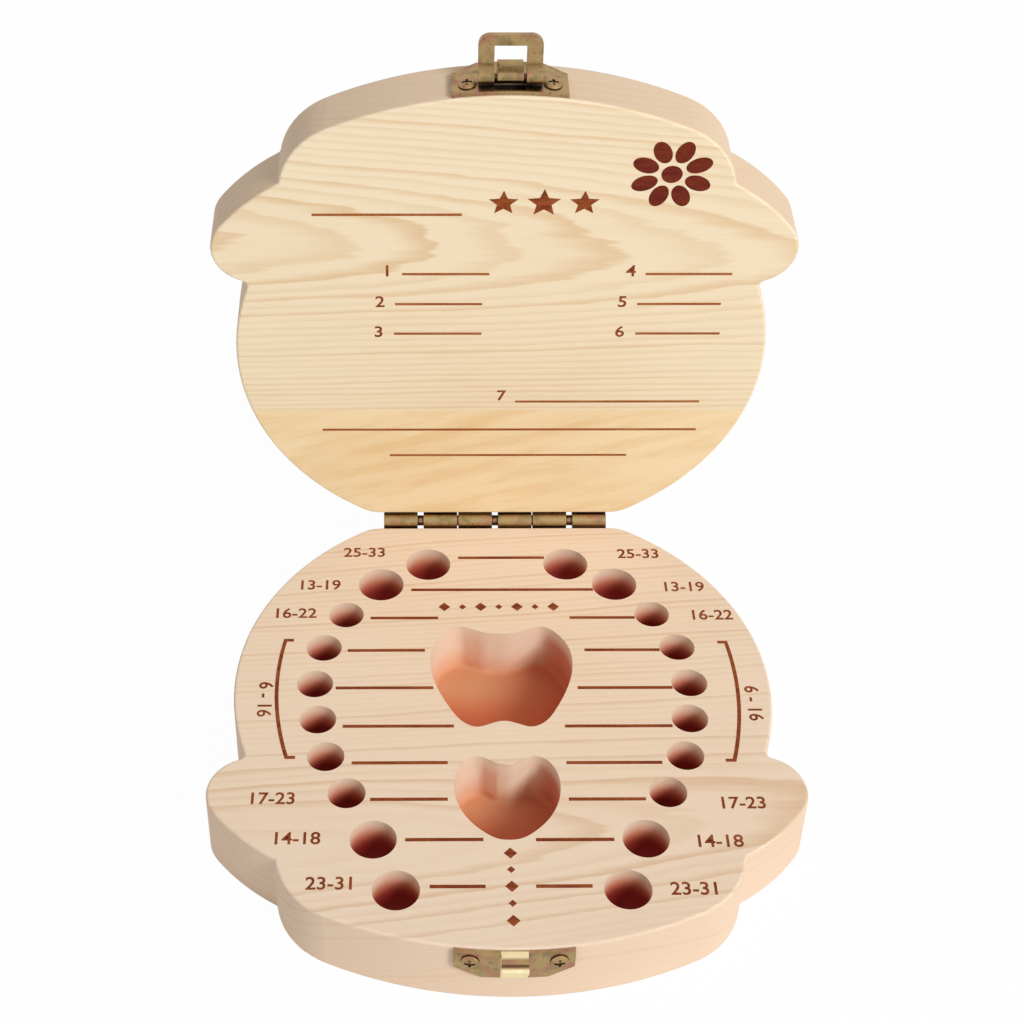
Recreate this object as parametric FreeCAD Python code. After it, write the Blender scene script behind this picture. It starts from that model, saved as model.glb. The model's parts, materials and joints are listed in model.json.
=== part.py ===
"""Keepsake box for milk teeth: two pine boards of one outline, hinged at the back and latched in front.

Millimetres, +Z up, +Y towards the hinge. The origin is the middle of the base board's underside.
The lid and the latch bail are modelled shut, then turned to the angles at which the box stands open.
"""
import FreeCAD, Part
import math
import os

from FreeCAD import Vector

# Outline that both boards share, seen from above: a round face under a brimmed cap
board_width = 120.0
brim_overhang = 3.5
hinge_flat_length = 57.0
brim_tip_radius = 8.9
brim_front_radius = 46.0
brim_front_angle = 38.0
crown_forward = 37.5
crown_overhang = 10.1
crown_inset = 14.4
crown_corner_radius = 17.0
crown_front_radius = 86.0
brim_notch_radius = 1.5
crown_crease_radius = 1.0
back_corner_radius = 8.0
board_edge_round = 0.6

# Boards
base_thickness = 15.0
lid_thickness = 11.5
closed_gap = 0.2
lid_open_angle = 85.0

# Tooth sockets, bored with a ball-ended cutter
rear_molar_bore = 10.0
front_molar_bore = 9.2
canine_bore = 7.6
incisor_bore = 7.6
socket_depth = 10.5
# Each row: distance from the back edge, distance from the middle, bore
socket_rows = (
    (12.5, 15.5, rear_molar_bore),
    (19.0, 26.0, rear_molar_bore),
    (28.5, 33.5, canine_bore),
    (38.5, 38.0, incisor_bore),
    (49.0, 39.5, incisor_bore),
    (59.0, 38.5, incisor_bore),
    (69.0, 36.5, incisor_bore),
    (78.5, 32.0, canine_bore),
    (90.0, 26.5, front_molar_bore),
    (102.0, 22.0, front_molar_bore),
)

# Keepsake pockets, milled to smooth outlines
pocket_depth = 12.2
pocket_floor_round = 1.0
# Right half of each outline, from the cleft forward: distance from the middle, distance from the back edge
tooth_pocket_outline = (
    (0.0, 34.4),
    (3.4, 34.0),
    (6.0, 33.0),
    (8.8, 32.2),
    (12.9, 35.1),
    (15.2, 41.7),
    (14.2, 48.8),
    (11.0, 56.2),
    (7.8, 60.3),
    (5.6, 61.1),
    (3.4, 60.5),
    (0.0, 59.5),
)
heart_pocket_outline = (
    (0.0, 71.2),
    (2.0, 70.8),
    (3.6, 69.8),
    (6.0, 69.0),
    (8.6, 70.4),
    (10.6, 75.2),
    (10.4, 79.5),
    (8.0, 85.0),
    (5.0, 88.2),
    (2.2, 89.9),
    (0.0, 90.2),
)

# Butt hinge, screwed to the back edges of the boards
knuckles_per_leaf = 3
knuckle_length = 7.75
knuckle_play = 1.4
knuckle_gap = 0.3
knuckle_diameter = 4.0
hinge_pin_diameter = 2.4
hinge_pin_clearance = 0.05
hinge_clearance = 0.3
leaf_thickness = 0.8
leaf_width = 9.0
hinge_screws_per_leaf = 3
hinge_screw_end_inset = 6.0
hinge_screw_edge_inset = 3.0

# Round-headed wood screws
screw_head_diameter = 3.4
screw_head_rim = 0.25
screw_head_height = 0.8
screw_shank_diameter = 1.8
screw_length = 7.4
screw_tip_length = 1.6
screw_recess_length = 2.0
screw_recess_width = 0.5
screw_recess_depth = 0.45
screw_hole_clearance = 0.05

# Swing latch on the front edges: plate and bail on the lid, catch with a bill on the base
plate_thickness = 0.85
plate_seat_clearance = 0.05
plate_width = 22.5
plate_narrow_width = 12.6
plate_screw_side_inset = 3.0
latch_plate_inset = 0.4
latch_plate_side = 7.0
latch_plate_height = 10.2
latch_screw_inset = 2.75
latch_slot_width = 6.2
latch_slot_rim = 0.5
latch_recess_depth = 2.0
pivot_height = 3.1
pivot_bar_radius = 0.6
pivot_clearance = 0.05
lug_nose_wall = 0.5
lug_crest_radius = 1.0
lug_crest_setback = 2.6
lug_crest_rise = 1.0
lug_root_setback = 1.2
lug_side_clearance = 0.6
bail_window_width = 6.2
bail_thickness = 1.0
bail_side_bar = 3.1
bail_end_bar = 2.3
bail_eye_radius = 1.35
bail_eye_clearance = 0.15
bail_crank_drop = 1.8
bail_crank_stand = 1.65
bail_end_round = 2.2
bail_catch_clearance = 0.3
bail_rest_angle = 95.0
catch_plate_inset = 0.2
catch_plate_side = 4.6
catch_plate_height = 7.1
catch_screw_inset = 2.5
bill_side_clearance = 0.6
bill_radius = 4.6
bill_angle = 40.0
bill_bead_radius = 0.7

# Places worked out from the sizes above
face_radius = board_width / 2 - brim_overhang
crown_width = board_width - 2 * crown_inset
brim_forward = face_radius + crown_overhang - crown_forward
face_setback = math.sqrt(face_radius ** 2 - (hinge_flat_length / 2) ** 2)
board_depth = face_setback + brim_forward + crown_forward
back_y = board_depth / 2
front_y = -board_depth / 2
face_y = back_y - face_setback
brim_x = board_width / 2 - brim_tip_radius
brim_y = face_y - brim_forward
crown_front_y = front_y + crown_front_radius
base_top = base_thickness
lid_inner = base_top + closed_gap
lid_outer = lid_inner + lid_thickness
knuckle_radius = knuckle_diameter / 2
knuckle_pitch = 2 * knuckle_length + knuckle_play + knuckle_gap
hinge_length = knuckles_per_leaf * knuckle_pitch - knuckle_gap
hinge_y = back_y + knuckle_radius + hinge_clearance
hinge_z = base_top + closed_gap / 2
plate_face = plate_seat_clearance + plate_thickness
plate_screw_spacing = plate_width - 2 * plate_screw_side_inset
pivot_y = front_y - plate_face - bail_eye_clearance - bail_eye_radius
pivot_z = lid_inner + pivot_height
lug_width = bail_window_width - 2 * lug_side_clearance
lug_nose_radius = pivot_bar_radius + pivot_clearance + lug_nose_wall
bill_width = bail_window_width - 2 * bill_side_clearance
bill_y = front_y - plate_face
bill_z = base_top - catch_plate_inset - bill_radius
bead_reach = bill_radius - plate_thickness / 2
bead_y = bill_y - bead_reach * math.sin(math.radians(bill_angle))
bead_z = bill_z + bead_reach * math.cos(math.radians(bill_angle))
along_x = Vector(1, 0, 0)
across_y = Vector(0, 1, 0)
upward = Vector(0, 0, 1)


def box(x_span, y_span, z_span):
    """A block between two corners, each span given as low and high."""
    size = [high - low for low, high in (x_span, y_span, z_span)]
    return Part.makeBox(size[0], size[1], size[2], Vector(x_span[0], y_span[0], z_span[0]))


def rod(x_span, radius, y, z):
    """A round bar along X."""
    return Part.makeCylinder(radius, x_span[1] - x_span[0], Vector(x_span[0], y, z), along_x)


def prism(edges, rise):
    """A closed outline of edges, raised into a solid."""
    return Part.Face(Part.Wire(edges)).extrude(rise)


def line(start, end):
    return Part.LineSegment(start, end).toShape()


def arc(start, through, end):
    return Part.Arc(start, through, end).toShape()


def mirrored(point):
    return Vector(-point.x, point.y, point.z)


def on_circle(centre, radius, degrees):
    """A point on a circle in the XY plane, its angle taken from +X towards +Y."""
    turn = math.radians(degrees)
    return centre + Vector(radius * math.cos(turn), radius * math.sin(turn), 0)


def face_prism(rise):
    """The round face, cut straight where the hinge sits."""
    right = Vector(hinge_flat_length / 2, back_y, 0)
    lowest = Vector(0, face_y - face_radius, 0)
    return prism([arc(right, lowest, mirrored(right)), line(mirrored(right), right)], rise)


def brim_prism(rise):
    """The brim of the cap: round tips joined by a straight back and a bowed front."""
    tip = Vector(brim_x, brim_y, 0)
    tip_back = on_circle(tip, brim_tip_radius, 90)
    tip_side = on_circle(tip, brim_tip_radius, 0)
    tip_front = on_circle(tip, brim_tip_radius, -brim_front_angle)
    bow = on_circle(tip, brim_tip_radius - brim_front_radius, -brim_front_angle)
    bow_middle = on_circle(bow, brim_front_radius, -(90 + brim_front_angle) / 2)
    bow_end = on_circle(bow, brim_front_radius, -90)
    edges = [
        arc(tip_back, tip_side, tip_front),
        arc(tip_front, bow_middle, bow_end),
        line(bow_end, mirrored(bow_end)),
        arc(mirrored(bow_end), mirrored(bow_middle), mirrored(tip_front)),
        arc(mirrored(tip_front), mirrored(tip_side), mirrored(tip_back)),
        line(mirrored(tip_back), tip_back),
    ]
    return prism(edges, rise)


def crown_prism(rise):
    """The crown of the cap: a shallow front arc between two rounded corners."""
    corner_x = crown_width / 2 - crown_corner_radius
    reach = crown_front_radius - crown_corner_radius
    corner_drop = math.sqrt(reach ** 2 - corner_x ** 2)
    corner = Vector(corner_x, crown_front_y - corner_drop, 0)
    blend_angle = -math.degrees(math.atan2(corner_drop, corner_x))
    side_back = Vector(crown_width / 2, brim_y, 0)
    side_front = on_circle(corner, crown_corner_radius, 0)
    corner_middle = on_circle(corner, crown_corner_radius, blend_angle / 2)
    blend = on_circle(corner, crown_corner_radius, blend_angle)
    edges = [
        line(side_back, side_front),
        arc(side_front, corner_middle, blend),
        arc(blend, Vector(0, front_y, 0), mirrored(blend)),
        arc(mirrored(blend), mirrored(corner_middle), mirrored(side_front)),
        line(mirrored(side_front), mirrored(side_back)),
        line(mirrored(side_back), side_back),
    ]
    return prism(edges, rise)


def corner_edges(board, low_y, high_y):
    """Upright edges where two side faces meet at an angle, between two depths."""
    found = []
    for edge in board.Edges:
        ends = [vertex.Point for vertex in edge.Vertexes]
        if len(ends) < 2 or (ends[0] - ends[1]).cross(upward).Length > 1e-6:
            continue
        if not low_y < ends[0].y < high_y:
            continue
        sides = board.ancestorsOfType(edge, Part.Face)
        normals = [side.normalAt(*side.Surface.parameter(ends[0])) for side in sides]
        if normals[0].getAngle(normals[1]) > math.radians(3):
            found.append(edge)
    return found


def outline_edges(board, levels):
    """Edges of the flat faces at the given heights."""
    return [
        edge
        for edge in board.Edges
        for level in levels
        if max(abs(vertex.Z - level) for vertex in edge.Vertexes) < 1e-6
    ]


def board(bottom, top):
    """One board of the shared outline, with its corners and edges eased."""
    rise = upward * (top - bottom)
    blank = face_prism(rise).fuse([brim_prism(rise), crown_prism(rise)]).removeSplitter()
    blank = blank.makeFillet(brim_notch_radius, corner_edges(blank, brim_y, face_y))
    blank = blank.makeFillet(crown_crease_radius, corner_edges(blank, front_y, brim_y))
    blank = blank.makeFillet(back_corner_radius, corner_edges(blank, face_y, back_y + 1))
    blank = blank.makeFillet(board_edge_round, outline_edges(blank, (0, top - bottom)))
    blank.translate(upward * bottom)
    return blank.Solids[0]


def socket(from_back, from_middle, bore):
    """A ball-ended bore that opens at the top of the base board."""
    radius = bore / 2
    ball = Vector(from_middle, back_y - from_back, base_top - socket_depth + radius)
    shaft = Part.makeCylinder(radius, base_top + bore - ball.z, ball)
    return shaft.fuse(Part.makeSphere(radius, ball))


def pocket(half_outline):
    """A flat-bottomed hollow with a smooth outline, given by the points of its right half."""
    right = [Vector(from_middle, back_y - from_back, 0) for from_middle, from_back in half_outline]
    left = [mirrored(point) for point in right[-2:0:-1]]
    outline = Part.BSplineCurve()
    outline.interpolate(Points=right + left, PeriodicFlag=True)
    hollow = prism([outline.toShape()], upward * (2 * pocket_depth))
    hollow = hollow.makeFillet(pocket_floor_round, outline_edges(hollow, (0,)))
    hollow.translate(upward * (base_top - pocket_depth))
    return hollow


def sideways(edges, x_span):
    """An outline drawn with Y along the page and Z up it, raised along X."""
    solid = prism(edges, upward * (x_span[1] - x_span[0]))
    solid.rotate(Vector(), along_x + across_y + upward, 120)
    solid.translate(along_x * x_span[0])
    return solid


def tapered_link(start, start_radius, end, end_radius, x_span):
    """A link across X that tapers between two circles, each centre given as Y and Z."""
    first = Vector(start[0], start[1], 0)
    last = Vector(end[0], end[1], 0)
    run = last - first
    lean = math.degrees(math.acos((start_radius - end_radius) / run.Length))
    heading = math.degrees(math.atan2(run.y, run.x))
    left_start = on_circle(first, start_radius, heading + lean)
    left_end = on_circle(last, end_radius, heading + lean)
    right_start = on_circle(first, start_radius, heading - lean)
    right_end = on_circle(last, end_radius, heading - lean)
    edges = [
        arc(left_start, on_circle(first, start_radius, heading + 180), right_start),
        line(right_start, right_end),
        arc(right_end, on_circle(last, end_radius, heading), left_end),
        line(left_end, left_start),
    ]
    return sideways(edges, x_span)


def wood_screw():
    """A round-headed screw with a cross recess, its head standing on the XY plane."""
    head_radius = screw_head_diameter / 2
    shank_radius = screw_shank_diameter / 2
    crown = screw_head_height - screw_head_rim
    ball_radius = (head_radius ** 2 + crown ** 2) / (2 * crown)
    ball = Part.makeSphere(ball_radius, Vector(0, 0, screw_head_height - ball_radius))
    head = Part.makeCylinder(head_radius, screw_head_height).common(ball)
    recess_floor = screw_head_height - screw_recess_depth
    half_length = screw_recess_length / 2
    half_width = screw_recess_width / 2
    slot_z = (recess_floor, 2 * screw_head_height)
    slots = [
        box((-half_length, half_length), (-half_width, half_width), slot_z),
        box((-half_width, half_width), (-half_length, half_length), slot_z),
    ]
    shank_length = screw_length - screw_tip_length
    shank = Part.makeCylinder(shank_radius, shank_length, Vector(0, 0, -shank_length))
    tip = Part.makeCone(0, shank_radius, screw_tip_length, Vector(0, 0, -screw_length))
    return head.cut(slots).fuse([shank, tip]).removeSplitter()


def screw_hole():
    """The bore that a screw fills, wider all round by the clearance."""
    radius = screw_shank_diameter / 2 + screw_hole_clearance
    depth = screw_length + screw_hole_clearance
    return Part.makeCylinder(radius, depth + screw_head_height, Vector(0, 0, -depth))


def hinge_places(z):
    """Where the hinge screws go: facing back, in a row along a leaf."""
    first = -hinge_length / 2 + hinge_screw_end_inset
    step = (hinge_length - 2 * hinge_screw_end_inset) / (hinge_screws_per_leaf - 1)
    facing = FreeCAD.Rotation(along_x, -90)
    seat_y = back_y + leaf_thickness
    return [
        FreeCAD.Placement(Vector(first + step * index, seat_y, z), facing)
        for index in range(hinge_screws_per_leaf)
    ]


def plate_places(z):
    """Where the front plate screws go: facing front, square to the curved edge."""
    facing = FreeCAD.Rotation(along_x, 90)
    seat = Vector(0, front_y - plate_face, z)
    swing = math.degrees(math.asin(plate_screw_spacing / 2 / (crown_front_radius + plate_face)))
    places = []
    for side in (-1, 1):
        around = FreeCAD.Rotation(upward, side * swing)
        turn = FreeCAD.Placement(Vector(), around, Vector(0, crown_front_y, 0))
        places.append(turn.multiply(FreeCAD.Placement(seat, facing)))
    return places


def placed(shape, places):
    """A copy of the shape at each place."""
    copies = []
    for place in places:
        copy = shape.copy()
        copy.Placement = place.multiply(copy.Placement)
        copies.append(copy)
    return copies


def hinge_leaf(leaf_side, first_knuckle_x, screw_z):
    """One leaf with its knuckles. leaf_side is 1 for the leaf above the hinge axis, -1 below."""
    half_length = hinge_length / 2
    plate_y = (back_y, back_y + leaf_thickness)
    shoulder = hinge_z + leaf_side * (knuckle_radius + hinge_clearance)
    far_edge = hinge_z + leaf_side * leaf_width
    plate = box((-half_length, half_length), plate_y, sorted((shoulder, far_edge)))
    pieces = []
    for index in range(knuckles_per_leaf):
        start = first_knuckle_x + index * knuckle_pitch
        span = (start, start + knuckle_length)
        pieces.append(rod(span, knuckle_radius, hinge_y, hinge_z))
        pieces.append(box(span, plate_y, sorted((hinge_z, shoulder))))
    bore = rod((-hinge_length, hinge_length), hinge_pin_diameter / 2 + hinge_pin_clearance, hinge_y, hinge_z)
    leaf = plate.fuse(pieces).removeSplitter()
    return leaf.cut([bore] + placed(screw_hole(), hinge_places(screw_z)))


def edge_plate(straight_z, side_z, narrow_z, screw_z):
    """A stamped plate on the curved front edge: straight across one end, tapered at the other."""
    wide = plate_width / 2
    narrow = plate_narrow_width / 2
    corners = [
        Vector(-wide, front_y - plate_width, straight_z),
        Vector(wide, front_y - plate_width, straight_z),
        Vector(wide, front_y - plate_width, side_z),
        Vector(narrow, front_y - plate_width, narrow_z),
        Vector(-narrow, front_y - plate_width, narrow_z),
        Vector(-wide, front_y - plate_width, side_z),
    ]
    edges = [line(start, end) for start, end in zip(corners, corners[1:] + corners[:1])]
    stamping = prism(edges, across_y * (2 * plate_width))
    low = Vector(0, crown_front_y, min(straight_z, narrow_z))
    height = abs(narrow_z - straight_z)
    shell = Part.makeCylinder(crown_front_radius + plate_face, height, low)
    shell = shell.cut(Part.makeCylinder(crown_front_radius + plate_seat_clearance, height, low))
    return stamping.common(shell).cut(placed(screw_hole(), plate_places(screw_z)))


def opened(shape):
    """Turns a piece of the shut lid to the angle at which the lid stands open."""
    turned = shape.copy()
    turned.rotate(Vector(0, hinge_y, hinge_z), along_x, -lid_open_angle)
    return turned


def make_base_board():
    sockets = [
        socket(from_back, side * from_middle, bore)
        for from_back, from_middle, bore in socket_rows
        for side in (-1, 1)
    ]
    pockets = [pocket(tooth_pocket_outline), pocket(heart_pocket_outline)]
    holes = placed(screw_hole(), hinge_places(base_screw_z) + plate_places(catch_screw_z))
    return board(0, base_top).cut(sockets + pockets + holes)


def latch_slot():
    """The slot that the lug was bent out of, with the recess in the wood behind it."""
    span = (-latch_slot_width / 2, latch_slot_width / 2)
    slot_low = lid_inner + latch_plate_inset + latch_slot_rim
    return box(span, (pivot_y, front_y + latch_recess_depth), (slot_low, pivot_z + lug_root_setback))


def make_lid_board():
    holes = placed(screw_hole(), hinge_places(lid_screw_z) + plate_places(latch_screw_z))
    return board(lid_inner, lid_outer).cut(holes + [latch_slot()])


def make_latch_plate():
    """The lid's plate with its slot and the lug that the bail swings in."""
    straight_z = lid_inner + latch_plate_inset
    side_z = straight_z + latch_plate_side
    narrow_z = straight_z + latch_plate_height
    plate = edge_plate(straight_z, side_z, narrow_z, latch_screw_z).cut(latch_slot())
    span = (-lug_width / 2, lug_width / 2)
    crest = (pivot_y - lug_crest_rise, pivot_z + lug_crest_setback)
    strap = tapered_link((pivot_y, pivot_z), lug_nose_radius, crest, lug_crest_radius, span)
    root_y = (crest[0], front_y - plate_face / 2)
    root = box(span, root_y, (pivot_z + lug_root_setback, crest[1] + lug_crest_radius))
    bore = rod((-lug_width, lug_width), pivot_bar_radius + pivot_clearance, pivot_y, pivot_z)
    return plate.fuse([strap, root]).removeSplitter().cut(bore)


def make_latch_bail():
    """A flat frame on two cranked legs that turn on a round bar, shown hanging down over the bill."""
    half_window = bail_window_width / 2
    half_width = half_window + bail_side_bar
    crank = (pivot_y - bail_crank_stand, pivot_z - bail_crank_drop)
    bead_distance = math.hypot(pivot_z - bead_z, pivot_y - bead_y) + bill_bead_radius
    window_reach = bead_distance + bail_catch_clearance
    inner_stand = bail_crank_stand - bail_thickness / 2
    window_end = pivot_z - math.sqrt(window_reach ** 2 - inner_stand ** 2)
    frame_end = window_end - bail_end_bar
    frame_y = (crank[0] - bail_thickness / 2, crank[0] + bail_thickness / 2)
    frame = box((-half_width, half_width), frame_y, (frame_end, crank[1]))
    corners = [
        edge
        for edge in frame.Edges
        if abs(edge.CenterOfMass.z - frame_end) < 1e-6 and edge.tangentAt(0).cross(across_y).Length < 1e-6
    ]
    frame = frame.makeFillet(bail_end_round, corners)
    window = box((-half_window, half_window), frame_y, (window_end, pivot_z))
    legs = [
        tapered_link((pivot_y, pivot_z), bail_eye_radius, crank, bail_thickness / 2, x_span)
        for x_span in ((-half_width, -half_window), (half_window, half_width))
    ]
    bar_end = half_width - bail_side_bar / 2
    bar = rod((-bar_end, bar_end), pivot_bar_radius, pivot_y, pivot_z)
    return frame.cut(window).fuse(legs + [bar]).removeSplitter()


def make_catch_plate():
    """The base's plate with the bill that the bail hooks under."""
    straight_z = base_top - catch_plate_inset
    side_z = straight_z - catch_plate_side
    narrow_z = straight_z - catch_plate_height
    plate = edge_plate(straight_z, side_z, narrow_z, catch_screw_z)
    span = (-bill_width / 2, bill_width / 2)
    middle = Vector(bill_y, bill_z, 0)
    inner_radius = bill_radius - plate_thickness
    outer = [on_circle(middle, bill_radius, 90 + turn) for turn in (0, bill_angle / 2, bill_angle)]
    inner = [on_circle(middle, inner_radius, 90 + turn) for turn in (bill_angle, bill_angle / 2, 0)]
    edges = [arc(*outer), line(outer[2], inner[0]), arc(*inner), line(inner[2], outer[0])]
    bead = rod(span, bill_bead_radius, bead_y, bead_z)
    root = box(span, (bill_y, front_y - plate_face / 2), (straight_z - plate_thickness, straight_z))
    return plate.fuse([sideways(edges, span), bead, root]).removeSplitter()


def make_hinge_pin():
    return rod((-hinge_length / 2, hinge_length / 2), hinge_pin_diameter / 2, hinge_y, hinge_z)


base_screw_z = hinge_z - leaf_width + hinge_screw_edge_inset
lid_screw_z = hinge_z + leaf_width - hinge_screw_edge_inset
latch_screw_z = lid_inner + latch_plate_inset + latch_screw_inset
catch_screw_z = base_top - catch_plate_inset - catch_screw_inset
lid_knuckles_x = -hinge_length / 2
base_knuckles_x = lid_knuckles_x + knuckle_length + knuckle_play

screw = wood_screw()
bail = make_latch_bail()
bail.rotate(Vector(0, pivot_y, pivot_z), along_x, -bail_rest_angle)

nodes = {
    "base_board": make_base_board(),
    "lid_board": opened(make_lid_board()),
    "hinge_base_leaf": hinge_leaf(-1, base_knuckles_x, base_screw_z),
    "hinge_lid_leaf": opened(hinge_leaf(1, lid_knuckles_x, lid_screw_z)),
    "hinge_pin": make_hinge_pin(),
    "hinge_base_screws": Part.makeCompound(placed(screw, hinge_places(base_screw_z))),
    "hinge_lid_screws": opened(Part.makeCompound(placed(screw, hinge_places(lid_screw_z)))),
    "latch_plate": opened(make_latch_plate()),
    "latch_bail": opened(bail),
    "latch_screws": opened(Part.makeCompound(placed(screw, plate_places(latch_screw_z)))),
    "catch_plate": make_catch_plate(),
    "catch_screws": Part.makeCompound(placed(screw, plate_places(catch_screw_z))),
}

os.makedirs("parts", exist_ok=True)
for name, shape in nodes.items():
    shape.exportStep("parts/" + name + ".step")
    print(name, len(shape.Solids), "solids", round(shape.Volume, 1), "mm3", "valid", shape.isValid())
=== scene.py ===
import json
import math

import bmesh
import bpy
from bpy.props import FloatProperty, FloatVectorProperty, PointerProperty
from mathutils import Matrix, Vector


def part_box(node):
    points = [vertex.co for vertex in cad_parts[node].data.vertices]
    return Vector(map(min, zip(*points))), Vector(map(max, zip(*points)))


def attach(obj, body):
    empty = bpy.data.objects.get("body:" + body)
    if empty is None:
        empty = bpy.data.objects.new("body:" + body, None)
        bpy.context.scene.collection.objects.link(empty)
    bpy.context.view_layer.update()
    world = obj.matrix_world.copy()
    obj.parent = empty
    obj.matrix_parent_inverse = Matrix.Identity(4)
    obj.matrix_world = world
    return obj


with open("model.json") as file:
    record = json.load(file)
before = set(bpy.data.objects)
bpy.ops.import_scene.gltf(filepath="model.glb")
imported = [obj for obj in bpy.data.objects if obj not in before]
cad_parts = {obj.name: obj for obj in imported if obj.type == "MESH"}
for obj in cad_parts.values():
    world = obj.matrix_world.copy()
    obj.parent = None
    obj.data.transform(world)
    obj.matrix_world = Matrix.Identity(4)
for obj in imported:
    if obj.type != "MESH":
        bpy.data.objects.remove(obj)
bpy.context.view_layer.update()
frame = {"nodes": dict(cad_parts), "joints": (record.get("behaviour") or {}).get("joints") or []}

bl_info = {
    "name": "Milk Tooth Box",
    "version": (1, 0, 0),
    "blender": (4, 5, 0),
    "location": "View3D > Sidebar > Tooth Box",
    "description": "Finishes, burnt marks and stage for a hinged pine box that keeps milk teeth",
    "category": "Object",
}

MM = 0.001
BASE_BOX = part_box("base_board")
JOINTS = {joint["name"]: joint for joint in frame["joints"]}

# Where the boards lie. The lid is described shut, then turned to where it stands open.
BACK = BASE_BOX[1].y
FRONT = BASE_BOX[0].y
TOP = BASE_BOX[1].z
HINGE = Vector(JOINTS["lid_hinge"]["pos_m"])
SHUT_ANGLE = math.radians(JOINTS["lid_hinge"]["range_deg"][0])
LID_INNER = 2 * HINGE.z - TOP
LID_THICKNESS = 11.5 * MM
LID_TURN = Matrix.Translation(HINGE) @ Matrix.Rotation(SHUT_ANGLE, 4, "X") @ Matrix.Translation(-HINGE)
BASE_FACE = Matrix.Translation((0, BACK, TOP))
LID_FACE = LID_TURN @ Matrix.Translation((0, BACK, LID_INNER)) @ Matrix.Rotation(math.pi, 4, "X")

# Growth rings of a board, in millimetres: where their middle line lies, as a distance from the back edge
# and a height, how far it shifts for each millimetre to the right, how much the rings wander, in rings,
# and how faint a ring may be. The lid's heights are from its inner face.
BASE_RINGS = {"middle": (88.0, 34.0), "slant": (-0.10, 0.05), "wander": 3.5, "faintest": 0.15}
LID_RINGS = {"middle": (79.0, -24.0), "slant": (-0.03, -0.07), "wander": 2.2, "faintest": 0.38}

# Hollows in millimetres. An oval round all those of the base: half its width and half its depth
HOLLOWS_OVAL = (50.5, 56.0)
# Both pockets: half their width, where they start and end, from the back edge, and how deep down the
# floor's tone is full
POCKETS_HALF = 17.5
POCKETS_START = 29.0
POCKETS_END = 91.0
POCKET_FLOOR = 12.15
# How strongly painted shade darkens the pockets' left-facing walls and their floor towards the right and the
# front, from 0 to 1
POCKET_SHADE_STRENGTH = 0.8
# The recess behind the latch's lug, painted near-black as its shadow: half its width, its depth, and its
# reach from the lid's inner face
RECESS_HALF = 3.2
RECESS_DEPTH = 2.2
RECESS_REACH = 6.0

# The catch's bill ends at the front of its plate's box. Its half width is in millimetres.
BILL_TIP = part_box("catch_plate")[0].y
BILL_HALF = 2.5
# Reach of the painted shade that darkens the plating in crevices and near neighbouring parts
CREVICE_SHADE_REACH = 1.6 * MM

# Burnt marks in millimetres. On the base, y is minus the distance from the back edge.
# On the lid it is plus that distance, so both read upright in the open box.
# Each base rule: distance from the back edge, left end and right end
BASE_RULES = (
    (10.3, -8.7, 10.8),
    (20.7, -19.3, 21.2),
    (29.5, -28.2, -13.4),
    (29.5, 15.4, 29.7),
    (39.3, -32.9, -16.3),
    (39.3, 18.0, 34.2),
    (50.2, -35.1, -14.6),
    (50.3, 15.8, 35.8),
    (60.9, -33.3, -10.4),
    (61.0, 12.5, 34.7),
    (70.7, -31.2, -11.8),
    (70.8, 12.2, 31.6),
    (80.1, -27.3, -11.9),
    (80.2, 12.1, 27.4),
    (90.1, -20.3, -5.1),
    (90.2, 5.1, 20.3),
    (101.2, -15.6, -5.0),
    (101.2, 4.6, 15.3),
)
# Months at which each milk tooth comes: text, then place and distance from the back edge, left and right
BASE_MONTHS = (
    ("25-33", (-29.9, 8.6), (32.3, 9.2)),
    ("13-19", (-39.8, 19.2), (41.3, 20.0)),
    ("16-22", (-44.8, 28.1), (46.5, 28.9)),
    ("17-23", (-46.8, 79.9), (46.4, 81.4)),
    ("14-18", (-41.5, 89.8), (40.6, 90.8)),
    ("23-31", (-34.4, 100.5), (34.8, 102.0)),
)
BRACKET_MONTHS = ("6 - 16", (-49.9, 53.3), (52.2, 54.8))
# Each bracket: distance of its two ends from the back edge, then its place at the back, middle and front
BRACKETS = (
    (36.2, 69.2, -46.4, -47.4, -44.5),
    (37.1, 70.3, 48.7, 49.3, 46.3),
)
BRACKET_TICK = 1.8
BRACKET_STEPS = 24
# Each row of diamonds: its first point, its last point and how many there are
DIAMOND_ROWS = (
    ((-12.0, -26.1), (12.0, -26.1), 7),
    ((0.0, -93.4), (0.0, -109.0), 5),
)
# Half the width of the large and the small diamonds, which take turns
DIAMOND_SIZES = (1.3, 0.8)
# Each lid rule: distance from the hinge edge, left end and right end
LID_RULES = (
    (87.0, -39.0, -8.9),
    (71.6, -21.0, -3.0),
    (71.6, 29.2, 47.1),
    (63.5, -22.5, -4.3),
    (63.5, 28.1, 45.6),
    (55.3, -22.8, -4.3),
    (55.3, 28.3, 46.2),
    (35.5, 3.5, 43.8),
    (27.0, -38.9, 43.9),
    (19.0, -24.1, 29.0),
)
# Figure beside each lid rule: text, distance from the hinge edge, right end
LID_FIGURES = (
    ("1", 72.3, -23.0),
    ("2", 64.0, -24.6),
    ("3", 55.7, -25.0),
    ("4", 72.3, 27.2),
    ("5", 64.0, 26.0),
    ("6", 55.7, 26.0),
    ("7", 37.2, 1.4),
)
# Each star: its place and radius. They stand in one row, with inner corners at a share of the radius.
STARS = ((-0.6, 3.1), (7.5, 3.5), (15.6, 3.1))
STAR_ROW = 89.9
STAR_WAIST = 0.45
# The flower: its place, the radius of its middle, then its petals, their distance from the middle, half
# their length, and their width as a share of their length
FLOWER_PLACE = (32.4, 97.0)
FLOWER_MIDDLE = 2.1
PETALS = 8
PETAL_REACH = 5.7
PETAL_HALF = 2.7
PETAL_SQUEEZE = 0.66
# Figures: their height as a share of the font's size, and how much bolder they are, for each unit of height
FIGURE_SHARE = 0.72
FIGURE_BOLD = 0.02

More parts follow.
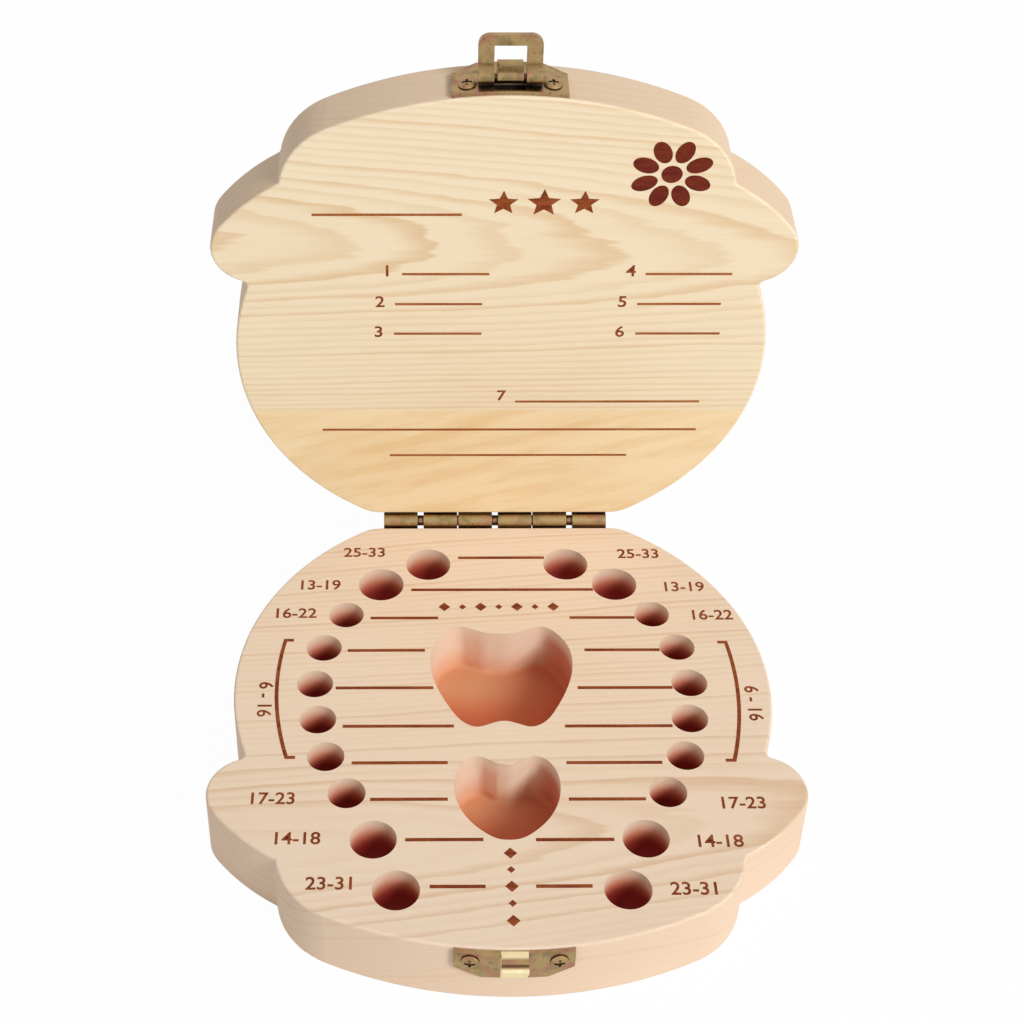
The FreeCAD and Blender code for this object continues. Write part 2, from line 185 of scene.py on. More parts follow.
# Stage in metres. The camera sees the floor this near to white.
FLOOR_REACH = 4.0
FLOOR_WHITE = 0.97
LAMP_SIZE = 0.75
LAMP_PLACE = Vector((1.17, -1.20, 1.29))
LAMP_AIM = Vector((0, 0, 0.05))
CAMERA_PLACE = Vector((-0.01736, -0.27108, 0.31212))
# Turn of the camera in radians, to the left, upwards and about its own axis
CAMERA_YAW = -0.0134
CAMERA_PITCH = -0.6605
CAMERA_ROLL = 0.0071
# Shift as shares of the sensor's width, which is in millimetres
CAMERA_SHIFT = (0.0703, -0.1240)
SENSOR_WIDTH = 36.0


def tone(red, green, blue):
    """A colour given as it looks on screen, 0 to 255, as scene linear values."""
    def linear(level):
        share = level / 255
        return share / 12.92 if share <= 0.04045 else ((share + 0.055) / 1.055) ** 2.4
    return (linear(red), linear(green), linear(blue))


def colour(name, description, default):
    return FloatVectorProperty(
        name=name, description=description, default=default, subtype="COLOR", size=3, min=0, max=1
    )


def length(name, description, default):
    return FloatProperty(
        name=name, description=description, default=default, subtype="DISTANCE", unit="LENGTH", min=0
    )


def number(name, description, default, subtype="NONE"):
    return FloatProperty(name=name, description=description, default=default, subtype=subtype, min=0)


class ToothBoxWood(bpy.types.PropertyGroup):
    """Tones and growth rings of the two pine boards."""
    base_pale: colour("Base pale", "Early wood of the base board", tone(242, 219, 194))
    base_line: colour("Base line", "Late wood of the base board", tone(222, 186, 150))
    lid_pale: colour("Lid pale", "Early wood of the lid board", tone(244, 226, 194))
    lid_line: colour("Lid line", "Late wood of the lid board", tone(225, 192, 146))
    band_pale: colour("Band pale", "Early wood of the strip beside the hinge", tone(248, 225, 182))
    band_line: colour("Band line", "Late wood of the strip beside the hinge", tone(236, 201, 146))
    cut_edge: colour("Cut edge", "Sawn edges of the boards", tone(226, 196, 168))
    # Painted shade: the pockets' walls turn this warmer tone towards their foot
    pocket_wall: colour("Pocket wall", "Foot of the pockets' walls", tone(230, 180, 146))
    pocket_floor: colour("Pocket floor", "Milled floor of the two pockets", tone(212, 150, 110))
    # Painted shade: this red-brown darkens the pockets' left-facing walls and their floor towards the right
    # and the front
    painted_pocket_shade: colour("Cutter burn", "Scorching on the pockets' right side", tone(206, 100, 66))
    # Painted shade: the sockets' walls and bottoms take these darker tones with depth
    socket_wall: colour("Socket wall", "Drilled walls of the sockets", tone(222, 140, 106))
    socket: colour("Socket", "Bottom of the bored sockets", tone(158, 52, 46))
    # Painted shadow: this near-black tone fills the recess behind the latch's lug
    recess: colour("Recess", "Wood in the recess behind the latch's lug", tone(44, 30, 24))
    ring_width: length("Ring width", "Distance between growth rings", 1.45 * MM)
    band_width: length("Band width", "Width of the yellower strip beside the lid's hinge", 33.0 * MM)


class ToothBoxMarks(bpy.types.PropertyGroup):
    """Lines and figures burnt into the boards."""
    burnt: colour("Burnt", "Scorched wood in the marks", tone(152, 78, 34))
    scorched: colour("Scorched", "Deeper scorching in the marks", tone(118, 46, 18))
    faint: colour("Faint", "Lighter scorching of the lid's lines", tone(172, 108, 62))
    motif: colour("Motif", "Dark scorching of the flower", tone(98, 20, 14))
    relief: length("Relief", "Height of a mark over the wood", 0.03 * MM)
    base_rule: length("Base line width", "Width of the lines on the base", 0.8 * MM)
    lid_rule: length("Lid line width", "Width of the lines on the lid", 0.62 * MM)
    figure: length("Figure height", "Height of the figures", 3.0 * MM)


class ToothBoxHardware(bpy.types.PropertyGroup):
    """Yellow plating of the hinge, latch and screws."""
    plating: colour("Plating", "Main tone of the plating", tone(172, 145, 100))
    rosy: colour("Rosy tint", "Pink tint of the plating", tone(168, 122, 97))
    mossy: colour("Mossy tint", "Green tint of the plating", tone(130, 118, 78))
    # This dark tone serves both the real tarnish spots and painted shade in crevices and across the bill's
    # fold
    tarnish_and_shade: colour("Tarnish", "Dark spots of the plating", tone(70, 44, 26))
    # Painted highlight: this pale tone brightens the root and the lip of the catch's bill
    bill_highlight: colour("Rubbed", "Bright metal where the bail rubs the catch's bill", tone(240, 222, 176))
    roughness: number("Roughness", "Roughness of the plating", 0.28, "FACTOR")


class ToothBoxStage(bpy.types.PropertyGroup):
    """Floor, light and camera."""
    floor: colour("Floor", "Colour of the floor", tone(246, 246, 246))
    key_power: number("Key power", "Power of the large lamp, in watts", 28.5, "POWER")
    fill: number("Fill", "Brightness of the light from all round", 0.47)
    lens: number("Lens", "Focal length on a 36 mm sensor, in millimetres", 67.2)


class Shade:
    """A shader value in a node tree. Arithmetic on it adds Math nodes."""

    def __init__(self, tree, socket=None):
        self.tree = tree
        self.socket = socket

    def node(self, kind, settings=None, inputs=None, output=0):
        """Adds a node: settings first, then values or links for its sockets. Returns one output."""
        made = self.tree.nodes.new(kind)
        for key, value in (settings or {}).items():
            setattr(made, key, value)
        for key, value in (inputs or {}).items():
            target = made.inputs[key]
            if isinstance(value, Shade):
                self.tree.links.new(value.socket, target)
            elif target.type == "RGBA" and len(value) == 3:
                target.default_value = (*value, 1)
            else:
                target.default_value = value
        return Shade(self.tree, made.outputs[output] if made.outputs else None)

    def math(self, operation, first, second=0.0):
        return self.node("ShaderNodeMath", {"operation": operation}, {0: first, 1: second})

    def __add__(self, other):
        return self.math("ADD", self, other)

    def __radd__(self, other):
        return self.math("ADD", other, self)

    def __sub__(self, other):
        return self.math("SUBTRACT", self, other)

    def __rsub__(self, other):
        return self.math("SUBTRACT", other, self)

    def __mul__(self, other):
        return self.math("MULTIPLY", self, other)

    def __rmul__(self, other):
        return self.math("MULTIPLY", other, self)

    def __truediv__(self, other):
        return self.math("DIVIDE", self, other)

    def __pow__(self, other):
        return self.math("POWER", self, other)

    def __abs__(self):
        return self.math("ABSOLUTE", self)

    def step(self, low, high):
        """Rises smoothly from 0 at low to 1 at high."""
        settings = {"interpolation_type": "SMOOTHSTEP"}
        return self.node("ShaderNodeMapRange", settings, {"Value": self, "From Min": low, "From Max": high})

    def between(self, rise, fall):
        """Rises smoothly from 0 to 1 over the first span and falls back over the second."""
        return self.step(*rise) * (1.0 - self.step(*fall))

    def blend(self, share, first, second):
        """Mixes two colours."""
        settings = {"data_type": "RGBA", "clamp_factor": True}
        return self.node("ShaderNodeMix", settings, {0: share, 6: first, 7: second}, 2)

    def stretched(self, vector, scale):
        """A vector with each direction scaled apart."""
        return self.node("ShaderNodeVectorMath", {"operation": "MULTIPLY"}, {0: vector, 1: scale})

    def noise(self, vector, scale, detail=2.0, roughness=0.5):
        inputs = {"Vector": vector, "Scale": scale, "Detail": detail, "Roughness": roughness}
        return self.node("ShaderNodeTexNoise", None, inputs)

    def grain(self, vector, along, across, detail=2.0, roughness=0.5):
        """Noise drawn out to the left and right, with its own fineness along that way and across it."""
        return self.noise(self.stretched(vector, (along, across, across)), 1.0, detail, roughness)


def new_material(name):
    """An empty node material and the shading to build it with."""
    material = bpy.data.materials.new(name)
    material.use_nodes = True
    material.node_tree.nodes.clear()
    return material, Shade(material.node_tree)


def surface(shade, inputs, height, distance):
    """Ends a material in one Principled shader, with a bump of a height and its distance."""
    bump = {"Strength": 1.0, "Distance": distance, "Height": height}
    normal = shade.node("ShaderNodeBump", None, bump)
    principled = shade.node("ShaderNodeBsdfPrincipled", None, {**inputs, "Normal": normal})
    shade.node("ShaderNodeOutputMaterial", None, {"Surface": principled})


def rings(shade, place, spot, width, middle, slant, wander, faintest):
    """Growth rings round a middle line: how dark the late wood is at each point, faintest to 1."""
    x, from_back, height = spot
    away = from_back - middle[0] - x * slant[0]
    depth = height - middle[1] - x * slant[1]
    ring = shade.math("SQRT", away * away + depth * depth) / width
    slow = shade.grain(place, along=0.01, across=0.05, detail=1.0)
    quick = shade.grain(place, along=0.05, across=0.5)
    ring = ring + (slow - 0.5) * wander + (quick - 0.5) * 0.7
    phase = shade.math("FRACT", ring)
    count = shade.math("FLOOR", ring)
    strength = shade.node("ShaderNodeTexWhiteNoise", {"noise_dimensions": "1D"}, {"W": count})
    band = phase.between((0.25, 0.86), (0.86, 1.0))
    return band * (faintest + (1.0 - faintest) * strength ** 2.0)


def board_place(shade, turn):
    """Where a point lies on its board, in millimetres: the vector with the lid shut, and its three parts."""
    spot = shade.node("ShaderNodeTexCoord", None, None, "Object")
    moved = turn.translation / MM
    settings = {"vector_type": "POINT"}
    inputs = {
        "Vector": spot,
        "Location": tuple(moved),
        "Rotation": tuple(turn.to_euler()),
        "Scale": (1 / MM, 1 / MM, 1 / MM),
    }
    place = shade.node("ShaderNodeMapping", settings, inputs)
    parts = [shade.node("ShaderNodeSeparateXYZ", None, {0: place}, axis) for axis in range(3)]
    return place, parts


def pine(shade, place, tones, late):
    """Pine of a pale and a dark tone, with fine fibres along the board."""
    fibre = shade.grain(place, along=0.06, across=2.6, detail=4.0, roughness=0.65)
    cloud = shade.grain(place, along=0.02, across=0.05)
    share = late * 0.8 + (fibre - 0.5) * 0.5 + (cloud - 0.5) * 0.5
    return shade.blend(share, tones[0], tones[1]), fibre


def sanded(shade, wood, late, fibre):
    """Ends a board's material: dull wood on which late rings and fibres stand up a little."""
    inputs = {"Specular IOR Level": 0.3, "Base Color": wood, "Roughness": 0.52 + fibre * 0.2}
    surface(shade, inputs, late * 0.4 + fibre, 0.02 * MM)


def pocket_wood(shade, settings, plain, spot):
    """Milled pockets: pale at the rim and warmer below, with painted shade on the right-hand, left-facing
    walls and on the floor towards the right and the front.
    """
    x, from_back, drop = spot
    facing = shade.node("ShaderNodeTexCoord", None, None, "Normal")
    leftward = -1.0 * shade.node("ShaderNodeSeparateXYZ", None, {0: facing}, "X")
    # Painted shade: the walls warm towards the floor, and the left-facing walls darken as if turned away
    # from the lamp
    wall = shade.blend(drop.step(5.0, 12.5), plain, settings.pocket_wall)
    shaded_walls = leftward.step(0.0, 0.9) * drop.step(0.3, 5.0)
    wall = shade.blend(shaded_walls * POCKET_SHADE_STRENGTH, wall, settings.painted_pocket_shade)
    # Painted shade: the floor darkens towards the right and towards the front of each pocket
    frontward = from_back.between((38.0, 48.0), (60.0, 66.0)) + from_back.step(71.0, 81.0)
    unshaded = (1.0 - x.step(-6.0, 13.0) * POCKET_SHADE_STRENGTH) * (1.0 - frontward * POCKET_SHADE_STRENGTH)
    floor = shade.blend(1.0 - unshaded, settings.pocket_floor, settings.painted_pocket_shade)
    return shade.blend(drop.step(11.0, POCKET_FLOOR), wall, floor)


def socket_wood(shade, settings, plain, drop):
    """Bored sockets: walls that warm and darken towards the bottom as painted shade."""
    wall = shade.blend(drop.step(0.0, 5.0), plain, settings.socket_wall)
    return shade.blend(drop.step(2.0, 7.2), wall, settings.socket)


def base_pine(settings):
    """Pine of the base board, with its sawn edge and its hollows."""
    material, shade = new_material("base_pine")
    place, (x, y, z) = board_place(shade, Matrix.Identity(4))
    from_back = BACK / MM - y
    drop = TOP / MM - z
    late = rings(shade, place, (x, from_back, z), settings.ring_width / MM, **BASE_RINGS)
    wood, fibre = pine(shade, place, (settings.base_pale, settings.base_line), late)
    half_width, half_depth = HOLLOWS_OVAL
    along = (y - (BACK + FRONT) / 2 / MM) / half_depth
    oval = shade.math("SQRT", (x / half_width) ** 2.0 + along ** 2.0)
    inside = 1.0 - oval.step(1.005, 1.025)
    edge = shade.math("MINIMUM", drop, z).step(0.05, 0.5) * (1.0 - inside)
    wood = shade.blend(edge * 0.6, wood, settings.cut_edge)
    plain = shade.blend(0.75, wood, settings.base_pale)
    across = 1.0 - abs(x).step(POCKETS_HALF, POCKETS_HALF + 2.0)
    rows = from_back.between((POCKETS_START, POCKETS_START + 2.0), (POCKETS_END, POCKETS_END + 2.0))
    bored = socket_wood(shade, settings, plain, drop)
    milled = pocket_wood(shade, settings, plain, (x, from_back, drop))
    hollow = shade.blend(across * rows * inside, bored, milled)
    wood = shade.blend(inside * drop.step(0.1, 0.5), wood, hollow)
    sanded(shade, wood, late, fibre)
    return material


def lid_pine(settings):
    """Pine of the lid board, with a yellower strip beside the hinge, its sawn edge and a painted shadow in
    the recess behind the latch's lug.
    """
    material, shade = new_material("lid_pine")
    place, (x, y, z) = board_place(shade, LID_TURN.inverted())
    from_back = BACK / MM - y
    inner = z - LID_INNER / MM
    late = rings(shade, place, (x, from_back, inner), settings.ring_width / MM, **LID_RINGS)
    wood, fibre = pine(shade, place, (settings.lid_pale, settings.lid_line), late)
    slant = shade.node("ShaderNodeCombineXYZ", None, {0: x + from_back * 0.3, 1: from_back - x * 0.3, 2: z})
    streak = shade.grain(slant, along=0.045, across=0.28, detail=3.0, roughness=0.6)
    patch = shade.grain(slant, along=0.03, across=0.06, detail=1.0)
    band_late = streak.step(0.36, 0.72) * 0.8 + (patch - 0.5) * 0.9
    band, _ = pine(shade, place, (settings.band_pale, settings.band_line), band_late)
    width = settings.band_width / MM
    wood = shade.blend(1.0 - from_back.step(width - 0.5, width + 0.3), wood, band)
    edge = shade.math("MINIMUM", inner, LID_THICKNESS / MM - inner).step(0.05, 0.5)
    wood = shade.blend(edge * 0.75, wood, settings.cut_edge)
    # Painted shadow: the wood in the recess behind the latch's lug turns near-black
    inward = y - FRONT / MM
    recess = inward.between((0.1, 0.4), (RECESS_DEPTH, RECESS_DEPTH + 0.4))
    recess = recess * (1.0 - abs(x).step(RECESS_HALF, RECESS_HALF + 0.2))
    recess = recess * inner.between((0.2, 0.5), (RECESS_REACH, RECESS_REACH + 0.4))
    wood = shade.blend(recess, wood, settings.recess)
    sanded(shade, wood, late, fibre)
    return material


def scorched(name, pale, dark):
    """Burnt wood: two browns in streaks along the grain."""
    material, shade = new_material(name)
    spot = shade.node("ShaderNodeTexCoord", None, None, "Object")
    streak = shade.grain(spot, along=120.0, across=900.0, detail=3.0)
    fleck = shade.noise(spot, 1600.0, 2.0)
    char = (streak * 0.6 + fleck * 0.4).step(0.35, 0.65)
    shown = shade.blend(char, pale, dark)
    inputs = {"Specular IOR Level": 0.2, "Base Color": shown, "Roughness": 0.6 + char * 0.2}
    surface(shade, inputs, fleck, 0.02 * MM)
    return material


def plated(name, settings, scale, worn, dull=0.0, bill_highlight=False):
    """Yellow-plated metal with rosy and mossy clouds, dark spots, painted shade in crevices and near
    neighbouring parts, and fine scratches.

    scale is the fineness of the clouds, worn the strength of the spots, dull is added to the roughness, and
    the last flag paints highlights on the root and lip of the catch's bill and a painted shadow across its
    fold.
    """
    material, shade = new_material(name)
    spot = shade.node("ShaderNodeTexCoord", None, None, "Object")
    cloud = shade.noise(spot, 260.0 * scale, 3.0)
    moss = shade.noise(shade.stretched(spot, (1.0, 1.3, 0.8)), 330.0 * scale, 2.0)
    stain = shade.noise(spot, 900.0 * scale, 4.0, 0.6)
    scratch = shade.noise(shade.stretched(spot, (400.0, 4000.0, 2500.0)), 1.0, 2.0)
    shown = shade.blend(cloud.step(0.42, 0.68), settings.plating, settings.rosy)
    shown = shade.blend(moss.step(0.5, 0.72) * 0.8, shown, settings.mossy)
    shown = shade.blend(stain.step(0.56, 0.74) * worn, shown, settings.tarnish_and_shade)
    # Painted shade: the plating darkens where other surfaces close in round it, in crevices, at joints and
    # under neighbouring parts
    open_air = shade.node("ShaderNodeAmbientOcclusion", None, {"Distance": CREVICE_SHADE_REACH}, "AO")
    shown = shade.blend((1.0 - open_air).step(0.1, 0.55) * 0.95, shown, settings.tarnish_and_shade)
    # Painted highlight on the root and the lip of the catch's bill, and a painted shadow across its fold
    if bill_highlight:
        x, y = (shade.node("ShaderNodeSeparateXYZ", None, {0: spot}, axis) / MM for axis in range(2))
        bill = 1.0 - abs(x).step(BILL_HALF, BILL_HALF + 0.1)
        behind = y - BILL_TIP / MM
        lip = 1.0 - behind.step(0.55, 1.05)
        root = behind.between((2.2, 3.0), (3.9, 4.2))
        fold = behind.between((0.95, 1.1), (1.35, 1.6))
        highlight = bill * shade.math("MAXIMUM", lip, root) * (0.35 + cloud).step(0.6, 0.9)
        shown = shade.blend(highlight, shown, settings.bill_highlight)
        # Painted shadow: a dark line across the fold of the bill
        shown = shade.blend(bill * fold * 0.8, shown, settings.tarnish_and_shade)
    rough = (settings.roughness + dull) + (cloud - 0.5) * 0.3 + stain.step(0.5, 0.75) * 0.2
    surface(shade, {"Metallic": 1.0, "Base Color": shown, "Roughness": rough}, scratch, 0.012 * MM)
    return material


def dress(material, *names):
    """Gives CAD nodes a material."""
    for name in names:
        slots = frame["nodes"][name].data.materials
        slots.clear()
        slots.append(material)


def add_piece(name, shape, face, body, material):
    """Turns a flat bmesh drawn in millimetres into a piece on a board's face."""
    mesh = bpy.data.meshes.new(name)
    shape.transform(face @ Matrix.Scale(MM, 4))
    bmesh.ops.recalc_face_normals(shape, faces=shape.faces)
    shape.to_mesh(mesh)
    shape.free()
    mesh.materials.append(material)
    piece = bpy.data.objects.new(name, mesh)
    bpy.context.scene.collection.objects.link(piece)
    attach(piece, body)


def plate(shape, points, relief):
    """Adds a flat plate with a closed outline, standing on the face."""
    low = [shape.verts.new((x, y, -relief)) for x, y in points]
    high = [shape.verts.new((x, y, relief)) for x, y in points]
    shape.faces.new(low[::-1])
    shape.faces.new(high)
    for index in range(len(points)):
        after = (index + 1) % len(points)
        shape.faces.new((low[index], low[after], high[after], high[index]))


def ring_points(x, y, radius, count, squeeze=1.0, turn=0.0):
    """Points of an ellipse that points away from its own middle along turn."""
    points = []
    for index in range(count):
        angle = 2 * math.pi * index / count
        along = radius * math.cos(angle)
        aside = radius * squeeze * math.sin(angle)
        points.append((
            x + along * math.cos(turn) - aside * math.sin(turn),
            y + along * math.sin(turn) + aside * math.cos(turn),
        ))
    return points


def star_points(x, y, radius):
    """Corners of a five-pointed star, outer and inner in turn."""
    points = []
    for index in range(10):
        angle = math.pi / 2 + math.pi * index / 5
        reach = radius if index % 2 == 0 else radius * STAR_WAIST
        points.append((x + reach * math.cos(angle), y + reach * math.sin(angle)))
    return points


def diamonds(shape, first, last, count, relief):
    """Adds a row of diamonds between two points, large and small in turn."""
    for index in range(count):
        share = index / (count - 1)
        x, y = (start + (end - start) * share for start, end in zip(first, last))
        plate(shape, ring_points(x, y, DIAMOND_SIZES[index % 2], 4), relief)


def rule(shape, left, right, y, width, relief):
    """Adds a straight line of a given width."""
    half = width / 2
    plate(shape, [(left, y - half), (right, y - half), (right, y + half), (left, y + half)], relief)


def strip(shape, spine, width, relief):
    """Adds a flat strip of even width along a line of points, mitred at its corners."""
    ways = [(Vector(after) - Vector(before)).normalized() for before, after in zip(spine, spine[1:])]
    left = []
    right = []
    for index, point in enumerate(spine):
        into = ways[max(index - 1, 0)]
        onward = ways[min(index, len(ways) - 1)]
        aside = Vector((-into.y - onward.y, into.x + onward.x)).normalized()
        aside *= width / 2 / aside.dot(Vector((-into.y, into.x)))
        left.append(Vector(point) + aside)
        right.append(Vector(point) - aside)
    plate(shape, [tuple(point) for point in right + left[::-1]], relief)


def bracket(shape, ends, width, relief):
    """Adds a bowed line with a short tick towards the middle at each end."""
    first, last, high, middle, low = ends
    spine = []
    for index in range(BRACKET_STEPS + 1):
        share = index / BRACKET_STEPS
        bow = 2 * (2 * middle - (high + low) / 2) * share * (1 - share)
        x = high * (1 - share) ** 2 + low * share ** 2 + bow
        spine.append((x, -(first + (last - first) * share)))
    ticks = [(x - math.copysign(BRACKET_TICK, x), y) for x, y in (spine[0], spine[-1])]
    strip(shape, [ticks[0], *spine, ticks[1]], width, relief)


def write(shape, text, x, y, size, relief, turn=0.0, align="CENTER"):
    """Adds plain figures to a mark, with the middle of their height at y."""
    letters = bpy.data.curves.new("figures", "FONT")
    letters.body = text
    letters.size = size / FIGURE_SHARE
    letters.align_x = align
    letters.align_y = "CENTER"
    letters.extrude = relief
    letters.offset = FIGURE_BOLD * size
    letters.resolution_u = 4
    holder = bpy.data.objects.new("figures", letters)
    bpy.context.scene.collection.objects.link(holder)
    mesh = bpy.data.meshes.new_from_object(holder.evaluated_get(bpy.context.evaluated_depsgraph_get()))
    mesh.transform(Matrix.Translation((x, y, 0)) @ Matrix.Rotation(turn, 4, "Z"))
    shape.from_mesh(mesh)
    bpy.data.meshes.remove(mesh)
    bpy.data.objects.remove(holder)
    bpy.data.curves.remove(letters)


def mark_material(settings):
    """The burnt brown that several marks share, made by the first of them."""
    found = bpy.data.materials.get("burnt_mark")
    return found or scorched("burnt_mark", settings.burnt, settings.scorched)


class TOOTHBOX_OT_boards(bpy.types.Operator):
    """Finish the base board and the lid board in sanded pine"""
    bl_idname = "toothbox.boards"
    bl_label = "Pine boards"

    def execute(self, context):
        settings = context.scene.tooth_box_wood
        dress(base_pine(settings), "base_board")
        dress(lid_pine(settings), "lid_board")
        return {"FINISHED"}


class TOOTHBOX_OT_hinge(bpy.types.Operator):
    """Plate the hinge's leaves and pin"""
    bl_idname = "toothbox.hinge"
    bl_label = "Hinge"

    def execute(self, context):
        settings = context.scene.tooth_box_hardware
        leaves = plated("hinge_plating", settings, scale=1.0, worn=0.6)
        dress(leaves, "hinge_base_leaf", "hinge_lid_leaf")
        dress(plated("pin_wire", settings, scale=1.6, worn=1.0, dull=0.1), "hinge_pin")
        return {"FINISHED"}


class TOOTHBOX_OT_latch(bpy.types.Operator):
    """Plate the latch plate, its bail and the catch"""
    bl_idname = "toothbox.latch"
    bl_label = "Latch"

    def execute(self, context):
        settings = context.scene.tooth_box_hardware
        latch = plated("latch_plating", settings, scale=1.2, worn=0.6)
        dress(latch, "latch_plate", "latch_bail")
        dress(plated("catch_plating", settings, scale=1.2, worn=0.6, bill_highlight=True), "catch_plate")
        return {"FINISHED"}


class TOOTHBOX_OT_screws(bpy.types.Operator):
    """Plate the wood screws"""
    bl_idname = "toothbox.screws"
    bl_label = "Screws"

    def execute(self, context):
        settings = context.scene.tooth_box_hardware
        names = ("hinge_base_screws", "hinge_lid_screws", "latch_screws", "catch_screws")
        dress(plated("screw_plating", settings, scale=1.5, worn=0.4, dull=0.2), *names)
        return {"FINISHED"}


class TOOTHBOX_OT_base_lines(bpy.types.Operator):
    """Burn the lines and brackets into the base board"""
    bl_idname = "toothbox.base_lines"
    bl_label = "Base lines"

    def execute(self, context):
        settings = context.scene.tooth_box_marks
        width = settings.base_rule / MM
        relief = settings.relief / MM
        shape = bmesh.new()
        for from_back, left, right in BASE_RULES:
            rule(shape, left, right, -from_back, width, relief)
        for ends in BRACKETS:
            bracket(shape, ends, width, relief)
        add_piece("base_lines", shape, BASE_FACE, "base", mark_material(settings))
        return {"FINISHED"}


class TOOTHBOX_OT_base_figures(bpy.types.Operator):
    """Burn the months beside the sockets and the diamonds beside the pockets"""
    bl_idname = "toothbox.base_figures"
    bl_label = "Base figures"

    def execute(self, context):
        settings = context.scene.tooth_box_marks
        size = settings.figure / MM
        relief = settings.relief / MM
        shape = bmesh.new()
        for text, *places in BASE_MONTHS:
            for x, from_back in places:
                write(shape, text, x, -from_back, size, relief)
        text, *places = BRACKET_MONTHS
        for x, from_back in places:
            write(shape, text, x, -from_back, size, relief, turn=-math.pi / 2)
        for first, last, count in DIAMOND_ROWS:
            diamonds(shape, first, last, count, relief)
        add_piece("base_figures", shape, BASE_FACE, "base", mark_material(settings))
        return {"FINISHED"}


class TOOTHBOX_OT_lid_lines(bpy.types.Operator):
    """Burn the writing lines into the lid board"""
    bl_idname = "toothbox.lid_lines"
    bl_label = "Lid lines"

    def execute(self, context):
        settings = context.scene.tooth_box_marks
        shape = bmesh.new()
        for from_back, left, right in LID_RULES:
            rule(shape, left, right, from_back, settings.lid_rule / MM, settings.relief / MM)
        material = scorched("faint_mark", settings.faint, settings.burnt)
        add_piece("lid_lines", shape, LID_FACE, "lid", material)
        return {"FINISHED"}


class TOOTHBOX_OT_lid_figures(bpy.types.Operator):
    """Burn the figures and the row of stars into the lid board"""
    bl_idname = "toothbox.lid_figures"
    bl_label = "Lid figures"

    def execute(self, context):
        settings = context.scene.tooth_box_marks
        size = settings.figure / MM
        relief = settings.relief / MM
        shape = bmesh.new()
        for text, from_back, right in LID_FIGURES:
            write(shape, text, right, from_back, size, relief, align="RIGHT")
        for x, radius in STARS:
            plate(shape, star_points(x, STAR_ROW, radius), relief)
        add_piece("lid_figures", shape, LID_FACE, "lid", mark_material(settings))
        return {"FINISHED"}


class TOOTHBOX_OT_lid_flower(bpy.types.Operator):
    """Burn a plain flower into the corner of the lid board"""
    bl_idname = "toothbox.lid_flower"
    bl_label = "Lid flower"

    def execute(self, context):
        settings = context.scene.tooth_box_marks
        relief = settings.relief / MM
        x, y = FLOWER_PLACE
        shape = bmesh.new()
        for index in range(PETALS):
            turn = 2 * math.pi * (index + 0.5) / PETALS
            middle = (x + PETAL_REACH * math.cos(turn), y + PETAL_REACH * math.sin(turn))
            plate(shape, ring_points(*middle, PETAL_HALF, 24, PETAL_SQUEEZE, turn), relief)
        plate(shape, ring_points(x, y, FLOWER_MIDDLE, 32), relief)
        material = scorched("flower_burn", settings.motif, settings.scorched)
        add_piece("lid_flower", shape, LID_FACE, "lid", material)
        return {"FINISHED"}


def lit_white(shade, strength):
    """Share of the rays that see the plain background: straight, mirrored or through glass."""
    path = shade.node("ShaderNodeLightPath")
    rays = [Shade(shade.tree, path.socket.node.outputs[name]) for name in
            ("Is Camera Ray", "Is Glossy Ray", "Is Transmission Ray")]
    seen = shade.math("MAXIMUM", shade.math("MAXIMUM", rays[0], rays[1]), rays[2])
    return seen * strength


